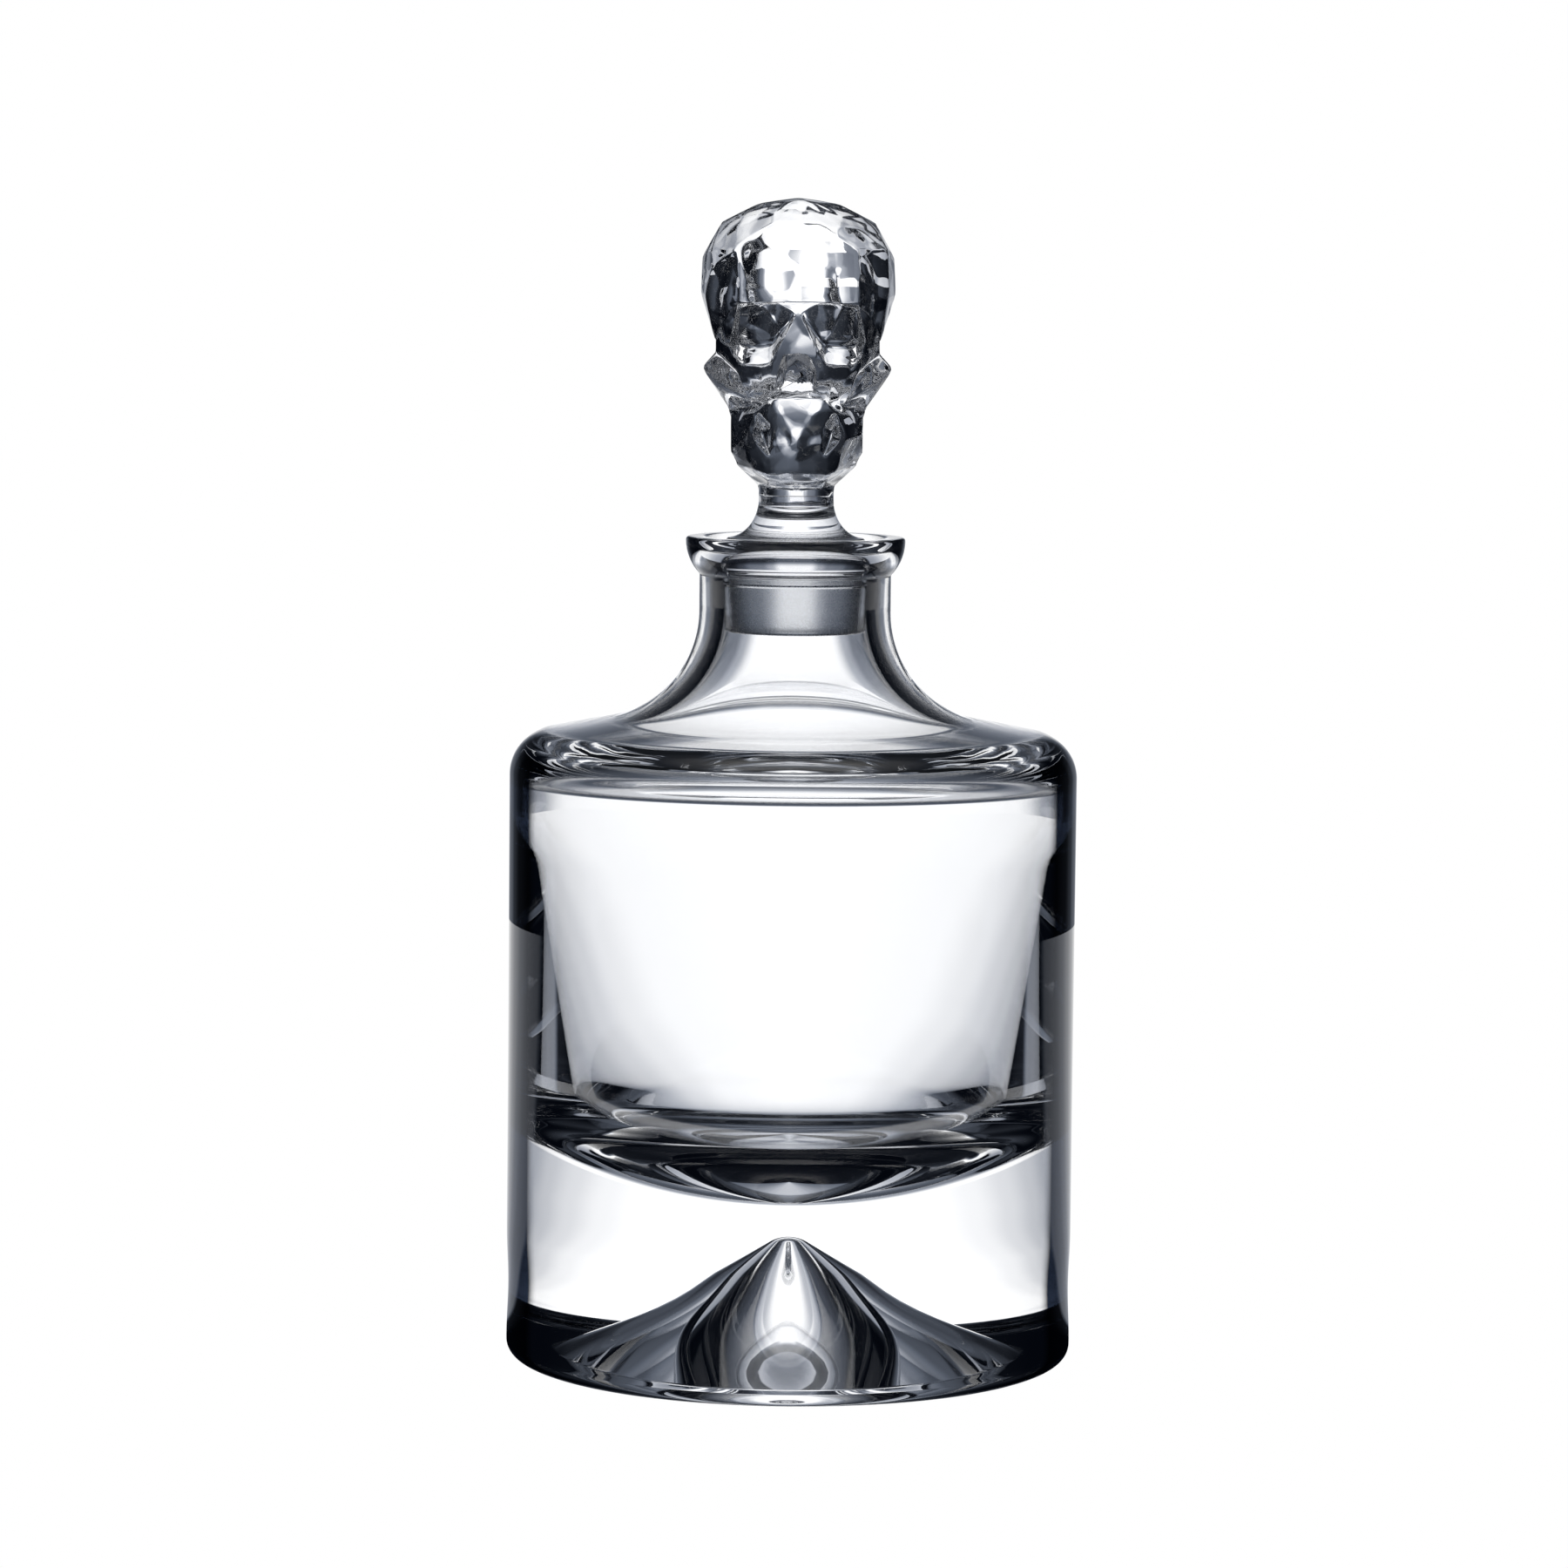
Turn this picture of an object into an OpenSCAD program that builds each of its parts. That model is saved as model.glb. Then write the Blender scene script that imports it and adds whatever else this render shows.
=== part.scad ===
// Heavy crystal decanter: one blown bottle with a solid base, closed by a stopper with a faceted skull.
// It stands on z = 0 with its axis on Z, and the face looks along -Y. Millimetres.

/* [Body] */
// Outer diameter of the body
body_d = 130; // [105:1:160]
// Height at which the slope of the shoulder would meet the side of the body
shoulder_z = 142.8; // [118:0.1:175]
// Fall of the shoulder from the neck to the side, in degrees
shoulder_slope = 11; // [4:0.5:18]
// Radius of the round edge between side and shoulder, outside
shoulder_edge_r = 10.5; // [5:0.5:14]
// Radius of the same edge inside
inner_edge_r = 7; // [3:0.5:9]
// Radius of the sweep from the shoulder up into the neck
sweep_r = 25; // [15:0.5:30]
// Glass of the side just below the shoulder
side_wall = 3; // [2:0.1:6]
// How far the side keeps that thickness, measured down from shoulder_z
even_h = 20.8; // [12:0.1:30]
// Lean of the inner wall below that, in degrees, which thickens the glass towards the base
wall_lean = 9.5; // [0:0.5:12]

/* [Base] */
// Diameter of the hollow cone under the base
kick_d = 71; // [50:1:86]
// Height of the hollow cone
kick_h = 31; // [20:0.5:40]
// Radius of the cone's rounded tip
kick_tip_r = 4; // [2:0.5:8]
// Glass between the tip of the cone and the cavity
floor_t = 7; // [4:0.5:14]
// Radius of the shallow bowl that the cavity ends in
bowl_r = 81; // [70:1:120]
// Radius of the bend from the bowl into the wall
bowl_edge_r = 22; // [10:1:28]
// Radius of the round outer edge of the foot
foot_edge_r = 3.5; // [1:0.5:6]
// Depth of the faint waist above the foot
waist_depth = 0.4; // [0.1:0.1:1.5]
// Height over which the waist runs
waist_h = 22; // [12:1:40]

/* [Neck] */
// Diameter of the bore at its lower, narrow end
bore_d = 32.6; // [26:0.1:40]
// Widening of the bore's diameter up to the mouth
bore_taper = 0.9; // [0.3:0.1:2]
// Glass of the neck
neck_wall = 5.6; // [4:0.1:8]
// Straight part of the neck, from the sweep up to the lip
neck_h = 8.4; // [5:0.1:14]
// Height of the flared lip
lip_h = 8.7; // [6:0.1:12]
// How far the lip stands out from the neck
lip_flare = 3.2; // [1:0.1:5]
// How far the mouth widens from the bore
mouth_flare = 4.35; // [2:0.05:5]
// Depth of the widened mouth below the rim
mouth_h = 6.5; // [4:0.1:9]
// Radius of the edges of the rim
rim_edge_r = 0.8; // [0.3:0.1:1.2]

/* [Stopper] */
// Height of the sealing sleeve
sleeve_h = 13.3; // [9:0.1:18]
// Distance of the sleeve's top edge below the flared mouth
sleeve_drop = 2.2; // [1:0.1:4]
// Thickness of the sleeve at its top
sleeve_wall_top = 1.05; // [0.8:0.05:1.6]
// Thickness of the sleeve at its bottom
sleeve_wall_end = 1.7; // [1.1:0.05:2.4]
// Depth of the groove round the sleeve
groove_depth = 0.25; // [0.1:0.05:0.5]
// Running clearance between the sleeve and the bore, on the radius
seat_gap = 0.05; // [0.02:0.01:0.1]
// Running clearance between the sleeve and the crystal core, on the radius
turn_gap = 0.05; // [0.02:0.01:0.1]
// Height of the bare crystal between the sleeve and the flare of the foot
plug_rise = 8.4; // [5:0.1:12]
// How much narrower the bare crystal is than the sleeve's edge, on the radius
plug_step = 0.65; // [0.3:0.05:0.9]
// Height of the flare from the plug up to the narrowest point of the stem
foot_h = 8.8; // [6:0.1:12]
// Diameter of the stem at its narrowest point
stem_d = 17.1; // [14:0.1:22]
// How far the joint between foot and skull lies below the narrowest point
joint_drop = 1.4; // [0.5:0.1:3]
// Diameter of the peg on the foot that enters the skull
peg_d = 12.8; // [9:0.1:13]
// Height of the peg
peg_h = 2.4; // [1.5:0.1:4]
// Space round the peg in its socket, on the radius
peg_gap = 0.05; // [0.02:0.01:0.2]
// Thickness of the adhesive on top of the peg
glue_t = 0.1; // [0.05:0.05:0.3]

/* [Skull] */
// Width of the skull
skull_w = 44.8; // [37:0.1:54]
// Depth of the skull from forehead to back
skull_d = 52; // [42:0.5:62]
// Height of the skull from its joint to the crown
skull_h = 70; // [58:0.5:84]

/* [Hidden] */
$fn = 96;
ARC_STEPS = 10;

body_r = body_d / 2;
cavity_r = body_r - side_wall;
kick_r = kick_d / 2;
cavity_floor_z = kick_h + floor_t;
bore_r = bore_d / 2;
mouth_bore_r = bore_r + bore_taper / 2;
neck_r = bore_r + neck_wall;
lip_r = neck_r + lip_flare;
mouth_r = mouth_bore_r + mouth_flare;
shoulder_rise = tan(shoulder_slope);

// Height of the outer shoulder's slope at radius r
function slope_z(r) = shoulder_z + (body_r - r) * shoulder_rise;

// The sweep is a circle that touches the slope and turns upright at the neck
sweep_x = neck_r + sweep_r;
sweep_z = slope_z(sweep_x) + sweep_r / cos(shoulder_slope);
// The inner sweep shares that centre, so neck and shoulder have one thickness
inner_sweep_r = sweep_r + neck_wall;
// Height of the inner slope at radius r
function inner_slope_z(r) = slope_z(r) - neck_wall / cos(shoulder_slope);

lip_z = sweep_z + neck_h;
rim_z = lip_z + lip_h;
bore_top_z = rim_z - mouth_h;

// The shoulder's edges, each a circle that touches the slope and the upright side
edge_x = body_r - shoulder_edge_r;
edge_z = slope_z(edge_x) - shoulder_edge_r / cos(shoulder_slope);
in_edge_x = cavity_r - inner_edge_r;
in_edge_z = inner_slope_z(in_edge_x) - inner_edge_r / cos(shoulder_slope);

// The leaning inner wall starts at [cavity_r, lean_z]
lean_z = shoulder_z - even_h;
// The bend inside the base touches the leaning wall and the bowl, whose centre is at [0, bowl_z]
bowl_z = cavity_floor_z + bowl_r;
bend_from = [cavity_r - bowl_edge_r * cos(wall_lean), lean_z + bowl_edge_r * sin(wall_lean) - bowl_z];
bend_dir = [-sin(wall_lean), -cos(wall_lean)];
bend_b = bend_from * bend_dir;
bend_run = -bend_b + sqrt(bend_b ^ 2 - bend_from * bend_from + (bowl_r - bowl_edge_r) ^ 2);
bend_c = bend_from + bend_run * bend_dir + [0, bowl_z];
bowl_edge_angle = atan2(bend_c.y - bowl_z, bend_c.x);

// The hollow cone touches the circle of its tip
kick_tip_z = kick_h - kick_tip_r;
kick_reach = sqrt(kick_r ^ 2 + kick_tip_z ^ 2);
kick_slope = atan(kick_tip_z / kick_r) + asin(kick_tip_r / kick_reach);

// The waist is a shallow arc between the foot's edge and the side
waist_r = (waist_h ^ 2 / 4 + waist_depth ^ 2) / (2 * waist_depth);
waist_mid_z = foot_edge_r + waist_h / 2;
waist_half = asin(waist_h / 2 / waist_r);

// The stopper's heights follow the bore that it sits in
seat_z = bore_top_z - sleeve_drop;
sleeve_end_z = seat_z - sleeve_h;
plug_top_z = seat_z + plug_rise;
stem_z = plug_top_z + foot_h;
joint_z = stem_z - joint_drop;
bore_lean = (bore_taper / 2) / (bore_top_z - sweep_z);
// Radius of the sleeve at height z
function sleeve_r(z) = bore_r - seat_gap + (z - sweep_z) * bore_lean;
core_top_r = sleeve_r(seat_z) - sleeve_wall_top - turn_gap;
core_end_r = sleeve_r(sleeve_end_z) - sleeve_wall_end - turn_gap;
plug_r = sleeve_r(seat_z) - plug_step;
stem_r = stem_d / 2;
peg_r = peg_d / 2;
edge_r = 0.5;
// The groove's upper edge is this far below the sleeve's top, and the groove is twice this half height
groove_drop = 1.5;
groove_half_h = 0.4;
// The cut for the socket starts this far below the skull
CUT_OVER = 1;

// Points on an arc about [x, z], from angle a to angle b in degrees
function arc(x, z, r, a, b, steps = ARC_STEPS) =
    [for (i = [0:steps]) let (t = a + (b - a) * i / steps) [x + r * cos(t), z + r * sin(t)]];

// Radius of the arc that starts upright and ends side away and rise higher, and the angle it turns through
function flare_r(side, rise) = (side ^ 2 + rise ^ 2) / (2 * side);
function flare_turn(side, rise) = 2 * atan(side / rise);

// Radius of the stem at height h below its narrowest point, a quarter of an ellipse
function stem_at(h) = stem_r + (plug_r - stem_r) * (1 - sqrt(1 - min(h / foot_h, 1) ^ 2));

function reversed(points) = [for (i = [len(points) - 1:-1:0]) points[i]];

// The lip leaves the neck at an angle and turns upright at the rim
lip_rise = lip_h - rim_edge_r;
lip_curve_r = flare_r(lip_flare, lip_rise);
lip_curve = arc(lip_r - lip_curve_r, rim_z - rim_edge_r, lip_curve_r, -flare_turn(lip_flare, lip_rise), 0);

// The mouth leaves the bore upright and widens up to the rim
mouth_curve_r = flare_r(mouth_flare, mouth_h);
mouth_turn = flare_turn(mouth_flare, mouth_h);
mouth_curve = arc(mouth_bore_r + mouth_curve_r, bore_top_z, mouth_curve_r, 180, 180 - mouth_turn);

bottle_outside = concat(
    arc(0, kick_tip_z, kick_tip_r, 90, 90 - kick_slope),
    [[kick_r, 0]],
    arc(body_r - foot_edge_r, foot_edge_r, foot_edge_r, -90, 0),
    arc(body_r + waist_r - waist_depth, waist_mid_z, waist_r, 180 + waist_half, 180 - waist_half),
    arc(edge_x, edge_z, shoulder_edge_r, 0, 90 - shoulder_slope),
    reversed(arc(sweep_x, sweep_z, sweep_r, 180, 270 - shoulder_slope, 2 * ARC_STEPS)),
    lip_curve,
    arc(lip_r - rim_edge_r, rim_z - rim_edge_r, rim_edge_r, 0, 90, 4));

bottle_inside = concat(
    [[mouth_r, rim_z]],
    reversed(mouth_curve),
    arc(sweep_x, sweep_z, inner_sweep_r, 180, 270 - shoulder_slope, 2 * ARC_STEPS),
    reversed(arc(in_edge_x, in_edge_z, inner_edge_r, 0, 90 - shoulder_slope)),
    [[cavity_r, lean_z]],
    arc(bend_c.x, bend_c.y, bowl_edge_r, -wall_lean, bowl_edge_angle),
    reversed(arc(0, bowl_z, bowl_r, -90, bowl_edge_angle)));

sleeve_profile = let (groove_z = seat_z - groove_drop, land = sleeve_r(seat_z)) [
    [core_top_r + turn_gap, seat_z],
    [land - edge_r / 2, seat_z],
    [land, seat_z - edge_r / 2],
    [sleeve_r(groove_z), groove_z],
    [sleeve_r(groove_z) - groove_depth, groove_z - groove_half_h],
    [sleeve_r(groove_z), groove_z - 2 * groove_half_h],
    each arc(sleeve_r(sleeve_end_z) - 2 * edge_r, sleeve_end_z + 2 * edge_r, 2 * edge_r, 0, -90, 6),
    [core_end_r + turn_gap, sleeve_end_z]];

// The foot's flare, from the plug's top edge up to the joint
foot_curve = [for (i = [ARC_STEPS:-1:0])
    let (h = joint_drop + (foot_h - joint_drop) * sin(90 * i / ARC_STEPS))
    [stem_at(h) - (i == ARC_STEPS ? edge_r : 0), stem_z - h]];

foot_profile = concat(
    [[0, sleeve_end_z], [core_end_r - edge_r, sleeve_end_z], [core_end_r, sleeve_end_z + edge_r]],
    // The core meets the ledge, which rests on the sleeve's top
    [[core_top_r, seat_z], [plug_r - edge_r, seat_z]],
    [[plug_r, seat_z + edge_r], [plug_r, plug_top_z - edge_r]],
    foot_curve,
    [[peg_r, joint_z], [peg_r, joint_z + peg_h], [0, joint_z + peg_h]]);

// The size of the head that the corner points below are given for
HEAD_W = 44.8;
HEAD_D = 52;
HEAD_H = 70;
// Height of the round end of the skull's stem on that head
STEM_END_H = 6;
// Cuts into the face start here, well in front of it
OPEN_Y = -34;

// Corner points of the skull's blocks, for its right half:
// x to the side, y from the face to the back, z up from the joint
cranium_points = [
    // crown
    [0, -7, 69.2], [0, 5, 70], [9.5, -1, 68.4], [9, 13, 67.2], [0, 18, 67.4],
    // edge round the crown
    [4.5, -17.2, 63.8], [13, -12, 62.6], [17.6, 1, 64.3], [14.5, 14, 62.4], [6.5, 21.5, 60.6],
    // upper sides
    [13.4, -18, 58.2], [19.6, -8, 57.8], [22, 3, 56.4], [18.4, 16.5, 55], [8, 24.8, 52.5],
    // widest ring, with the brow in front
    [4.2, -22.8, 46.6], [13.4, -21.8, 46.2], [20.3, -9.5, 47.2],
    [22.4, 3.5, 48.4], [19.2, 17, 46.4], [7.6, 26, 44],
    // temples, the back of the head and the underside
    [18.8, -9.6, 38], [18.6, 1.5, 37.6], [15.6, 14, 33.5], [6.5, 20.5, 31], [9, 13, 24]];

mid_face_points = [
    [4.2, -22.6, 46.4], [13.6, -21.6, 46], [18.7, -10.5, 39], [18.6, -8, 33], [16, 8, 36],
    [13.4, -18.4, 31], [3, -22.8, 41.6], [5.4, -22.6, 36],
    // side of the nose and the upper lip
    [6, -21, 27], [6.2, -20.6, 24.4], [10, -16.8, 21.5], [15.1, -7.5, 20.4], [14.6, 6, 21]];

cheekbone_points = [
    [18.4, -12.5, 35], [18.4, -4, 35], [21.7, -10.5, 31.4], [21.4, -4.5, 31.6], [13.6, -18.2, 30.8],
    [19.4, -13.6, 29.2], [10.8, -17.2, 24], [14.6, -7, 21], [16.6, 1, 26], [12, 0, 33]];

jaw_points = [
    [6.2, -20.6, 24.4], [0, -21, 24.8], [0, -22.4, 15.4], [6.8, -19.6, 14], [11.2, -15.4, 17.4],
    // corner of the jaw
    [15, -8, 21], [15.1, -7.4, 12.2], [13.8, -6.8, 9.4], [13.6, 6, 22], [12.4, 6.4, 11.4],
    // chin
    [6.6, -17.6, 7.8], [0, -19.4, 8.4], [2.6, -15, 6],
    // back of the neck, and round the stem
    [9.5, 12.5, 30], [6, 12, 18], [0, 14, 28],
    [0, 8.2, 4], [5.8, 5.8, 4], [8.2, 0, 4], [5.8, -5.8, 4], [0, -8.2, 4]];

// Corner points of the hollows cut into the face; those far in front open the cut
eye_points = [
    // rim of the socket
    [0.3, -22.8, 43.8], [4.4, -22.8, 46.4], [11.6, -22.2, 46.2], [14.4, -20.4, 44],
    [14.6, -19.4, 31.6], [6.2, -22.4, 32.4], [5.6, -22.8, 36], [2.9, -23, 41.7],
    // the crease at its back
    [5.8, -13.8, 37], [13.8, -12.4, 36.8],
    // in front
    [0.3, OPEN_Y, 52], [4.4, OPEN_Y, 58], [11.6, OPEN_Y, 58], [14.4, OPEN_Y, 54],
    [14.6, OPEN_Y, 31.6], [6.2, OPEN_Y, 32.4], [5.6, OPEN_Y, 36], [2.9, OPEN_Y, 41.7]];

nose_points = [
    // rim
    [0, -23.4, 35.8], [2.8, -22.8, 35.2], [4.5, -22, 31.6], [4.9, -21.2, 26.2], [0, -21.4, 25.2],
    // the edge at its back
    [0, -15.5, 33.4], [3, -15.8, 31.4], [2.8, -16, 28],
    // in front
    [0, OPEN_Y, 35.8], [2.8, OPEN_Y, 35.2], [4.5, OPEN_Y, 31.6], [4.9, OPEN_Y, 26.2], [0, OPEN_Y, 25.2]];

mouth_side_points = [
    [8.8, -18.4, 22.6], [5.7, -20.8, 18.2], [5.8, -20, 11], [10.2, -16.4, 15.6],
    [7.8, -12.4, 16.8],
    [8.8, OPEN_Y, 22.6], [5.7, OPEN_Y, 18.2], [5.8, OPEN_Y, 11], [10.2, OPEN_Y, 15.6]];

under_cheek_points = [
    [19.2, -13, 28.4], [9.6, -17.6, 23.4], [13.8, -12.4, 17.6], [16.8, -6.5, 21.4],
    [11.8, -10, 22.6],
    [25, -20, 28.4], [15, -28, 23.4], [19, -22, 17.6], [23, -9, 21.4]];

// A design point carried to its place on the skull; side is 1 for the right half and -1 for the left
function placed(p, side) =
    [side * p.x * skull_w / HEAD_W, p.y * skull_d / HEAD_D, joint_z + p.z * skull_h / HEAD_H];

// The convex solid whose corners are these points
module convex(points) {
    hull() polyhedron(points, [[for (i = [0:len(points) - 1]) i]]);
}

// A convex solid over both halves of the head
module block(points) {
    convex([for (side = [1, -1], p = points) placed(p, side)]);
}

// A convex solid on each side of the face
module pair(points) {
    for (side = [1, -1])
        convex([for (p = points) placed(p, side)]);
}

module bottle() {
    color("azure", 0.4)
        rotate_extrude() polygon(concat(bottle_outside, bottle_inside));
}

module plug_sleeve() {
    color("ghostwhite", 0.6)
        rotate_extrude() polygon(sleeve_profile);
}

module stopper_foot() {
    color("aliceblue", 0.5)
        rotate_extrude() polygon(foot_profile);
}

module glue_disc() {
    color("lightcyan", 0.7)
        translate([0, 0, joint_z + peg_h]) cylinder(h = glue_t, r = peg_r);
}

module skull_head() {
    color("lavender", 0.5) difference() {
        union() {
            block(cranium_points);
            block(mid_face_points);
            pair(cheekbone_points);
            block(jaw_points);
            translate([0, 0, joint_z])
                cylinder(h = STEM_END_H * skull_h / HEAD_H, r1 = stem_at(joint_drop), r2 = stem_r);
        }
        pair(eye_points);
        block(nose_points);
        pair(mouth_side_points);
        pair(under_cheek_points);
        translate([0, 0, joint_z - CUT_OVER])
            cylinder(h = CUT_OVER + peg_h + glue_t, r = peg_r + peg_gap);
    }
}

bottle();
plug_sleeve();
stopper_foot();
glue_disc();
skull_head();
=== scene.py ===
# %% [markdown]
# # A crystal decanter with a skull stopper
#
# The decanter is five pieces: a heavy bottle, and a stopper made of a crystal foot, a clear sealing
# sleeve round its core, a faceted skull, and the thin disc of adhesive that holds the skull on.
# All of it is clear glass or clear plastic, so nearly everything that is seen is the room, bent.
# The exact outlines and the room are what make it look right; there is almost no colour.

import math

import bmesh
import bpy
import numpy as np
from mathutils import Matrix


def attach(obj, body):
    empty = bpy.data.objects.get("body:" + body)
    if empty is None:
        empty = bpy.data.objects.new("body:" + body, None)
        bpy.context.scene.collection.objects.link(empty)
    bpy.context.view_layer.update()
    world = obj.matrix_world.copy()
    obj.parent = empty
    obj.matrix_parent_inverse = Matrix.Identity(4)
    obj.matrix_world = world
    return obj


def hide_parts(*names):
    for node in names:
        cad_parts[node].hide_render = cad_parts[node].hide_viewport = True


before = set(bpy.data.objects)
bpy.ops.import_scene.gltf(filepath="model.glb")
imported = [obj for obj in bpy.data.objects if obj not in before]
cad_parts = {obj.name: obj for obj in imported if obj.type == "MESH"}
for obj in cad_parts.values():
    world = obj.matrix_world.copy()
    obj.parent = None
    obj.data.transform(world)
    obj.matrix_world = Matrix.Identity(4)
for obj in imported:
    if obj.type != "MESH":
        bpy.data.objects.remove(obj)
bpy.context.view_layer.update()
scene = bpy.context.scene
MM = 0.001

# %% [markdown]
# ## The camera
#
# The decanter stands level with a long lens a little above it, so that the mouth and the foot show
# as thin ellipses. The camera is leaned by half a degree, as one is that stands on a tripod.

# %% Place the camera
CAMERA_PLACE = (-0.0021, -1.3, 0.257)
CAMERA_FALL = 5.49
CAMERA_ROLL = 0.58
LENS = 130.8

camera_data = bpy.data.cameras.new("camera")
camera_data.lens = LENS
camera_data.sensor_width = 36
camera = bpy.data.objects.new("camera", camera_data)
scene.collection.objects.link(camera)
aim = Matrix.Rotation(math.radians(90 - CAMERA_FALL), 4, "X")
roll = Matrix.Rotation(math.radians(CAMERA_ROLL), 4, "Z")
camera.matrix_world = Matrix.Translation(CAMERA_PLACE) @ aim @ roll
scene.camera = camera
print("camera", CAMERA_PLACE, "lens", LENS)

# %% [markdown]
# ## Small helpers for node trees
#
# A material is a graph of nodes. One function adds a node, sets its properties and fills its inputs:
# an input that is another node's output becomes a link, and anything else becomes a fixed value.

# %% Add a node and fill its inputs
def add(tree, kind, inputs=None, **settings):
    """One node of a tree. Outputs given as inputs are linked, and numbers are set on the socket."""
    node = tree.nodes.new("ShaderNode" + kind)
    for name, value in settings.items():
        setattr(node, name, value)
    for name, value in (inputs or {}).items():
        if isinstance(value, bpy.types.NodeSocket):
            tree.links.new(value, node.inputs[name])
        else:
            node.inputs[name].default_value = value
    return node


def sum_of(tree, a, b, operation="ADD"):
    """Two numbers joined by one arithmetic operation."""
    return add(tree, "Math", {0: a, 1: b}, operation=operation).outputs[0]


def between(tree, value, low, high, start, end, smooth=True):
    """A value carried from the span low..high to start..end, and held at the ends."""
    kind = "SMOOTHSTEP" if smooth else "LINEAR"
    spots = {"Value": value, "From Min": low, "From Max": high, "To Min": start, "To Max": end}
    return add(tree, "MapRange", spots, interpolation_type=kind).outputs[0]

# %% [markdown]
# ## The room
#
# Glass has no look of its own: it shows the room behind it, bent, and the room in front of it,
# mirrored. The decanter stands on a white table before a white wall of light, with a soft light
# overhead, and the rest of the room is dark. The dark sides are what draw the outline of clear glass.
# This is a stage room, not a real one. Light that goes straight through the glass finds such a wall on
# each of four sides, so that there is a bright field behind the decanter wherever one stands. Light
# that was mirrored on its way finds only the one wall, and the camera itself sees plain white.

# %% Tables of brightness
def filled_ramp(tree, value, stops, interpolation="LINEAR"):
    """A colour looked up by a value between 0 and 1 in a table of (position, colour) stops."""
    node = add(tree, "ValToRGB", {"Fac": value})
    node.color_ramp.interpolation = interpolation
    bar = node.color_ramp.elements
    while len(bar) < len(stops):
        bar.new(0.5)
    for element, (position, colour) in zip(bar, stops):
        element.position = position
        element.color = (*colour, 1) if isinstance(colour, tuple) else (colour, colour, colour, 1)
    return node.outputs["Color"]


def by_angle(tree, value, stops, start, span):
    """A grey looked up by an angle: the stops give degrees, counted from start over span."""
    shares = [((degrees - start) / span, grey) for degrees, grey in stops]
    return filled_ramp(tree, value, shares, "EASE")


# Degrees aside from the wall's middle, and brightness: on the table, and on the wall itself
TABLE_STOPS = (
    (0, 1.0), (12, 0.96), (19, 0.84), (26, 0.68), (34, 0.54),
    (42, 0.4), (50, 0.31), (59, 0.26), (64, 0.01), (75, 0.0))
WALL_STOPS = ((0, 1.0), (6, 1.0), (10, 0.4), (14, 0.2), (20, 0.17), (26, 0.06), (34, 0.012), (50, 0.0))
# Degrees above the horizon, and brightness: of the wall, and of the light overhead
LEVEL_STOPS = (
    (-90, 0.2), (-60, 0.9), (-50, 1.0), (0, 1.0), (3, 0.75), (7, 0.3), (11, 0.1), (18, 0.06), (60, 0.04))
TOP_STOPS = ((-90, 0.0), (20, 0.0), (48, 0.07), (58, 0.16), (68, 0.5), (76, 1.0))
# Colour of the room from its darkest to its brightest, a little cool between the two
TONE_STOPS = (
    (0.0, (0.001, 0.0015, 0.003)), (0.12, (0.1, 0.115, 0.145)), (0.4, (0.375, 0.395, 0.44)), (1.0, 1.0))
ROOM_LIGHT = 1.25


# %% One group for the room's sides, used by the wall and by the table
def sides_group():
    """From a direction's x and y: the angle aside from the wall, folded into a quarter turn for light
    that wasn't mirrored. Out come the brightness of the table and of the wall at that angle."""
    group = bpy.data.node_groups.new("room_sides", "ShaderNodeTree")
    for name in ("X", "Y", "Mirrored"):
        group.interface.new_socket(name, in_out="INPUT", socket_type="NodeSocketFloat")
    for name in ("Table", "Wall"):
        group.interface.new_socket(name, in_out="OUTPUT", socket_type="NodeSocketFloat")
    given = group.nodes.new("NodeGroupInput").outputs
    result = group.nodes.new("NodeGroupOutput")
    turn = sum_of(group, given["X"], given["Y"], "ARCTAN2")
    share = sum_of(group, turn, 1 / math.pi, "MULTIPLY")
    aside = add(group, "Math", {0: share}, operation="ABSOLUTE").outputs[0]
    folded = sum_of(group, aside, 0.25, "PINGPONG")
    used = add(group, "Mix", {0: given["Mirrored"], 2: folded, 3: aside}).outputs[0]
    group.links.new(by_angle(group, used, TABLE_STOPS, 0, 180), result.inputs["Table"])
    group.links.new(by_angle(group, used, WALL_STOPS, 0, 180), result.inputs["Wall"])
    return group


def sides_of(tree, axes):
    """The group placed in a tree, told whether the light was mirrored on its way."""
    mirrored = sum_of(tree, add(tree, "LightPath").outputs["Glossy Depth"], 0.5, "GREATER_THAN")
    node = add(tree, "Group", node_tree=sides)
    for name, value in (("X", axes["X"]), ("Y", axes["Y"]), ("Mirrored", mirrored)):
        tree.links.new(value, node.inputs[name])
    return node.outputs


sides = sides_group()
print("group", sides.name)

# %% Light the room
def shine(tree, brightness, shader, output):
    """White to the camera, and the room's tone at this brightness to all other light."""
    tone = filled_ramp(tree, brightness, TONE_STOPS)
    room = add(tree, shader, {"Color": tone, "Strength": ROOM_LIGHT})
    plain = add(tree, shader, {"Color": (1, 1, 1, 1), "Strength": 1.0})
    camera_ray = add(tree, "LightPath").outputs["Is Camera Ray"]
    seen = add(tree, "MixShader", {0: camera_ray, 1: room.outputs[0], 2: plain.outputs[0]})
    tree.links.new(seen.outputs[0], tree.nodes.new(output).inputs["Surface"])


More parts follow.
